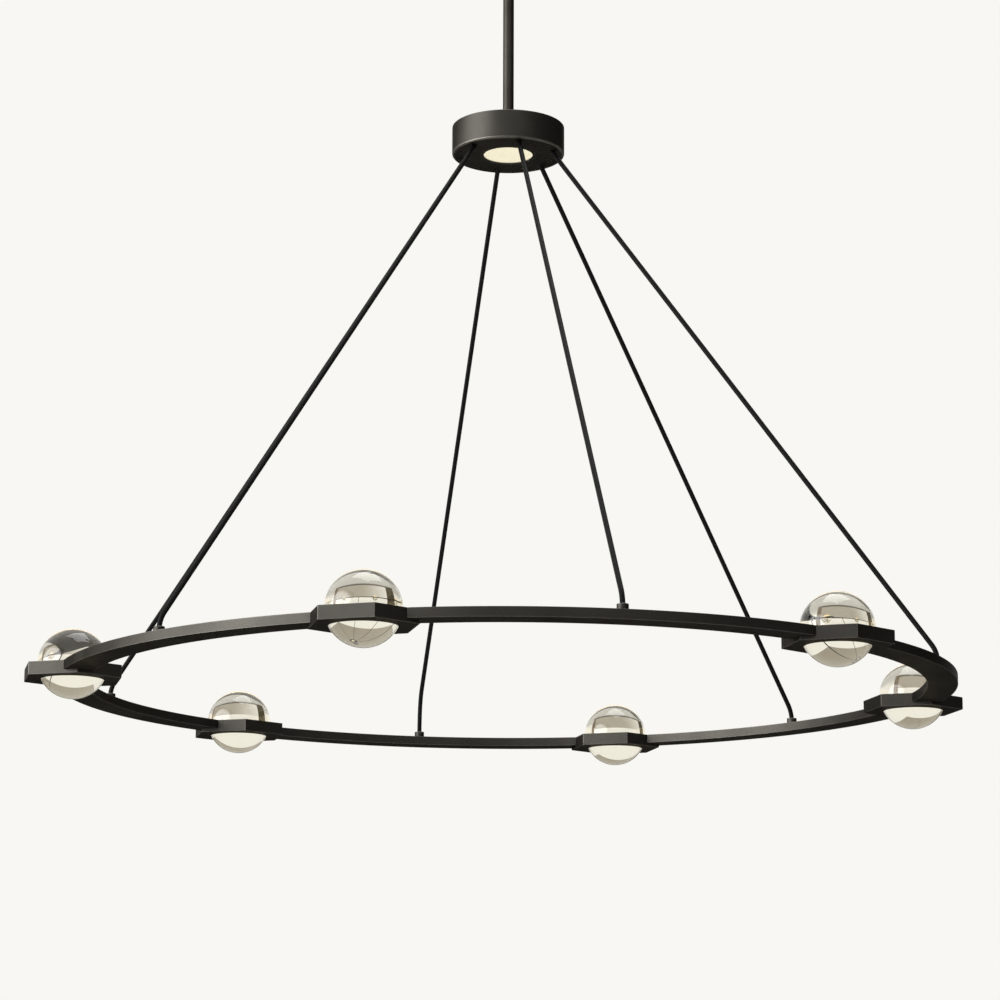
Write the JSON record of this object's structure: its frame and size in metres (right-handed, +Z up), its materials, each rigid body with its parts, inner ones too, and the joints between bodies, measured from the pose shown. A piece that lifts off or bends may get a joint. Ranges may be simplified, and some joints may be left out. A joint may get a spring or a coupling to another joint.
{
  "type": "chandelier",
  "caption": "Flat ring hung by slanted cables from a round hub on a stem, with clear glass orbs resting in hexagonal holders and a hang-straight swivel under a canopy.",
  "frame": {"origin": "centre of the crossbar's slot pattern, on the ceiling plane", "axes": "+Z up, out of the ceiling mount and along the axis of the stem; one orb lies on +X"},
  "size_m": [1.346, 1.2618, 1.1885],
  "materials": {
    "dark_metal": "satin blackened bronze",
    "black_screw": "satin black",
    "zinc_steel": "zinc plated",
    "green_screw": "green",
    "heat_sink": "extruded",
    "cable_jacket": "satin black jacket",
    "clear_glass": "clear, polished",
    "warm_lens": "lit diffuser",
    "light_guide": "lit diffuser",
    "circuit_board": "white solder mask",
    "driver_case": "matte",
    "nylon": "natural nylon"
  },
  "bodies": {
    "ceiling_bracket": {"crossbar": "zinc_steel", "swivel_socket": "zinc_steel", "swivel_seat": "zinc_steel", "socket_screws": "zinc_steel", "ground_screw": "green_screw", "canopy_studs": "zinc_steel"},
    "canopy": {"canopy_cover": "dark_metal", "canopy_cap_nuts": "dark_metal"},
    "liner": {"swivel_liner": "nylon"},
    "ball": {"swivel_ball": "dark_metal"},
    "hanging_frame": {"stem": "dark_metal", "stem_top_nut": "zinc_steel", "stem_hub_nut": "zinc_steel", "hub_housing": "dark_metal", "hub_plate_screws": "black_screw", "cable_anchors": "nylon", "hub_bottom_plate": "dark_metal", "lens_bezel": "dark_metal", "hub_lens": "warm_lens", "downlight_board": "circuit_board", "downlight_heat_sink": "heat_sink", "led_driver": "driver_case", "terminal_block": "nylon", "cable_feet": "dark_metal", "cable_foot_nuts": "zinc_steel", "ring_spigots": "heat_sink", "ring_joint_screws": "black_screw", "orb_led_boards": "circuit_board", "suspension_cable_1": "cable_jacket", "ring_arc_1": "dark_metal", "orb_holder_1": "dark_metal", "orb_light_ring_1": "light_guide", "suspension_cable_2": "cable_jacket", "ring_arc_2": "dark_metal", "orb_holder_2": "dark_metal", "orb_light_ring_2": "light_guide", "suspension_cable_3": "cable_jacket", "ring_arc_3": "dark_metal", "orb_holder_3": "dark_metal", "orb_light_ring_3": "light_guide", "suspension_cable_4": "cable_jacket", "ring_arc_4": "dark_metal", "orb_holder_4": "dark_metal", "orb_light_ring_4": "light_guide", "suspension_cable_5": "cable_jacket", "ring_arc_5": "dark_metal", "orb_holder_5": "dark_metal", "orb_light_ring_5": "light_guide", "suspension_cable_6": "cable_jacket", "ring_arc_6": "dark_metal", "orb_holder_6": "dark_metal", "orb_light_ring_6": "light_guide"},
    "orb_1": {"glass_orb_1": "clear_glass"},
    "orb_2": {"glass_orb_2": "clear_glass"},
    "orb_3": {"glass_orb_3": "clear_glass"},
    "orb_4": {"glass_orb_4": "clear_glass"},
    "orb_5": {"glass_orb_5": "clear_glass"},
    "orb_6": {"glass_orb_6": "clear_glass"}
  },
  "joints": [
    {"name": "canopy_slide", "type": "slide", "parent": "ceiling_bracket", "child": "canopy", "axis": [0, 0, -1], "range_m": [0, 0.25]},
    {"name": "hang_tilt_side", "type": "hinge", "parent": "ceiling_bracket", "child": "liner", "pos_m": [0, 0, -0.024], "axis": [0, 1, 0], "range_deg": [-15, 15]},
    {"name": "hang_tilt_front", "type": "hinge", "parent": "liner", "child": "ball", "pos_m": [0, 0, -0.024], "axis": [1, 0, 0], "range_deg": [-15, 15]},
    {"name": "stem_spin", "type": "hinge", "parent": "ball", "child": "hanging_frame", "pos_m": [0, 0, -0.024], "axis": [0, 0, 1], "range_deg": [-170, 170]},
    {"name": "orb_lift_1", "type": "slide", "parent": "hanging_frame", "child": "orb_1", "axis": [0, 0, 1], "range_m": [0, 0.075]},
    {"name": "orb_lift_2", "type": "slide", "parent": "hanging_frame", "child": "orb_2", "axis": [0, 0, 1], "range_m": [0, 0.075]},
    {"name": "orb_lift_3", "type": "slide", "parent": "hanging_frame", "child": "orb_3", "axis": [0, 0, 1], "range_m": [0, 0.075]},
    {"name": "orb_lift_4", "type": "slide", "parent": "hanging_frame", "child": "orb_4", "axis": [0, 0, 1], "range_m": [0, 0.075]},
    {"name": "orb_lift_5", "type": "slide", "parent": "hanging_frame", "child": "orb_5", "axis": [0, 0, 1], "range_m": [0, 0.075]},
    {"name": "orb_lift_6", "type": "slide", "parent": "hanging_frame", "child": "orb_6", "axis": [0, 0, 1], "range_m": [0, 0.075]}
  ]
}
